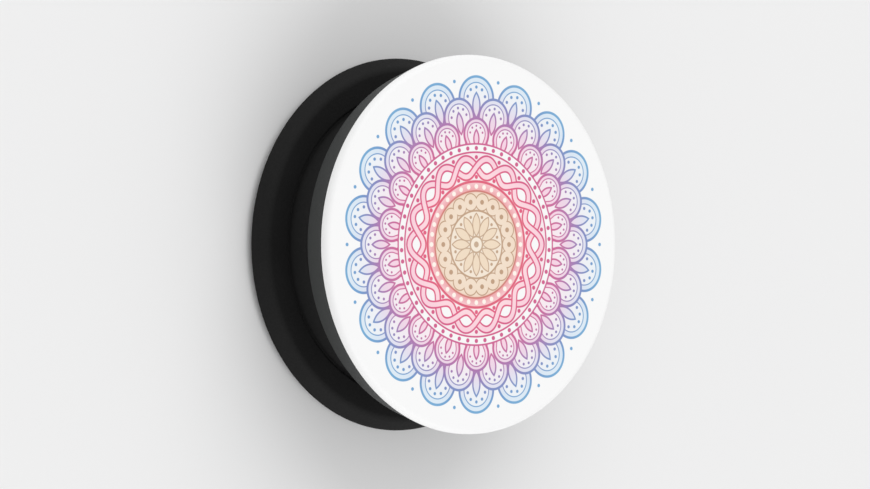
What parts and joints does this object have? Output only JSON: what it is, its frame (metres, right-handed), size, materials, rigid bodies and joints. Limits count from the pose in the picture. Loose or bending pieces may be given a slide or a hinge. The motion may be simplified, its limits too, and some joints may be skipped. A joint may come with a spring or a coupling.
{
  "type": "collapsible phone grip",
  "caption": "Round stick-on phone grip: a printed disc on a button that pulls out on a folding accordion and twists off.",
  "frame": {"origin": "centre of the pad's sticky face, where the grip meets the phone", "axes": "+Z along the accordion's axis towards the printed disc, +Y to the top of the print, +X to its right"},
  "size_m": [0.0398, 0.0398, 0.0136],
  "materials": {
    "gel": "satin",
    "black_plastic": "matte",
    "soft_black": "matte",
    "dark_plastic": "satin",
    "white_plastic": "satin"
  },
  "bodies": {
    "base": {"adhesive_pad": "gel", "base_plate": "black_plastic", "accordion": "soft_black"},
    "neck": {"lock_key": "black_plastic"},
    "top": {"button": "dark_plastic", "printed_disc": "white_plastic"}
  },
  "joints": [
    {"name": "extend", "type": "slide", "parent": "base", "child": "neck", "axis": [0, 0, 1], "range_m": [-0.0065, 0.0084], "deforming": ["accordion"]},
    {"name": "twist", "type": "hinge", "parent": "neck", "child": "top", "pos_m": [0, 0, 0.012], "axis": [0, 0, 1], "range_deg": [0, 90]}
  ]
}
